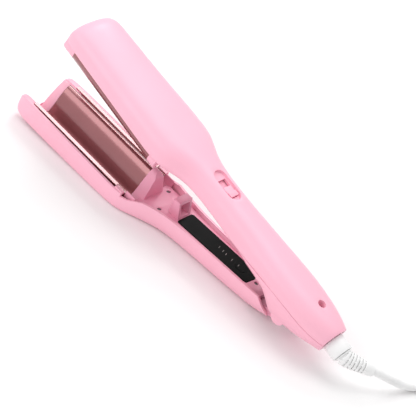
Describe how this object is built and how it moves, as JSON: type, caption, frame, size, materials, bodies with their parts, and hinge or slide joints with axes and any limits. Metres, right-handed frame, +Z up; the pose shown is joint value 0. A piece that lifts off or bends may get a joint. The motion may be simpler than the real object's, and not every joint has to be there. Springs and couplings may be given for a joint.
{
  "type": "hair waver",
  "caption": "Corded hair waver: two long hinged jaws with nesting wave plates, slide lock on the back, recessed black control panel, white cord.",
  "frame": {"origin": "on the ground under the middle of the object's box at rest, the cord left out", "axes": "+X runs from the jaw tips towards the cord, +Z is up, and the lower arm lies flat on the ground"},
  "size_m": [0.4525, 0.1327, 0.098],
  "materials": {
    "shell": "smooth satin pink",
    "inner_shell": "smooth satin pink",
    "wave_plate": "rose ceramic coating, smooth",
    "heater": "plain",
    "steel": "plain",
    "white_plastic": "smooth white",
    "cord": "soft white",
    "mica": "flat sheet",
    "board": "circuit board",
    "wire": "insulated wire",
    "gloss_black": "glossy black",
    "black_plastic": "matt black"
  },
  "bodies": {
    "main_body": {"main_top_shell": "shell", "main_inner_cover": "inner_shell", "rear_cover": "shell", "upper_wave_plate": "wave_plate", "upper_jaw_frame": "shell", "upper_heaters": "heater", "upper_insulation": "mica", "thermal_fuse": "steel", "power_board": "board", "main_wires": "wire", "hinge_pin": "steel", "hinge_bushes": "white_plastic", "return_spring": "steel", "lock_detent": "steel", "handle_screw": "steel", "main_cover_screws": "steel", "cord_clamp": "black_plastic", "swivel_bush": "shell", "strain_relief": "cord", "power_cord": "cord", "cord_coil": "cord", "cord_tail": "cord", "cord_tie": "black_plastic", "plug_body": "white_plastic", "plug_pins": "steel"},
    "lower_arm": {"lower_arm_shell": "shell", "lower_inner_cover": "inner_shell", "lower_wave_plate": "wave_plate", "lower_heater": "heater", "lower_insulation": "mica", "thermistor": "black_plastic", "control_board": "board", "panel_lens": "gloss_black", "lock_loop": "inner_shell", "arm_cover_screws": "steel", "arm_wires": "wire", "hinge_knuckle": "black_plastic"},
    "lock_slide": {"lock_slider": "shell", "lock_bolt": "steel"},
    "button": {"power_button": "gloss_black"},
    "collar": {"swivel_collar": "white_plastic"}
  },
  "joints": [
    {"name": "jaw_hinge", "type": "hinge", "parent": "main_body", "child": "lower_arm", "pos_m": [0.10476, 0, 0.017], "axis": [0, 1, 0], "range_deg": [0, 14], "stiffness_Nm_per_rad": 0.5, "springref_deg": -57.3},
    {"name": "lock_travel", "type": "slide", "parent": "main_body", "child": "lock_slide", "axis": [-0.9703, 0, 0.2419], "range_m": [0, 0.005]},
    {"name": "button_press", "type": "slide", "parent": "lower_arm", "child": "button", "axis": [0, 0, -1], "range_m": [0, 0.0005], "stiffness_N_per_m": 400, "springref_m": -0.0015},
    {"name": "collar_turn", "type": "hinge", "parent": "main_body", "child": "collar", "pos_m": [0.14332, 0, 0.02285], "axis": [0.9703, 0, -0.2419], "continuous": true}
  ]
}
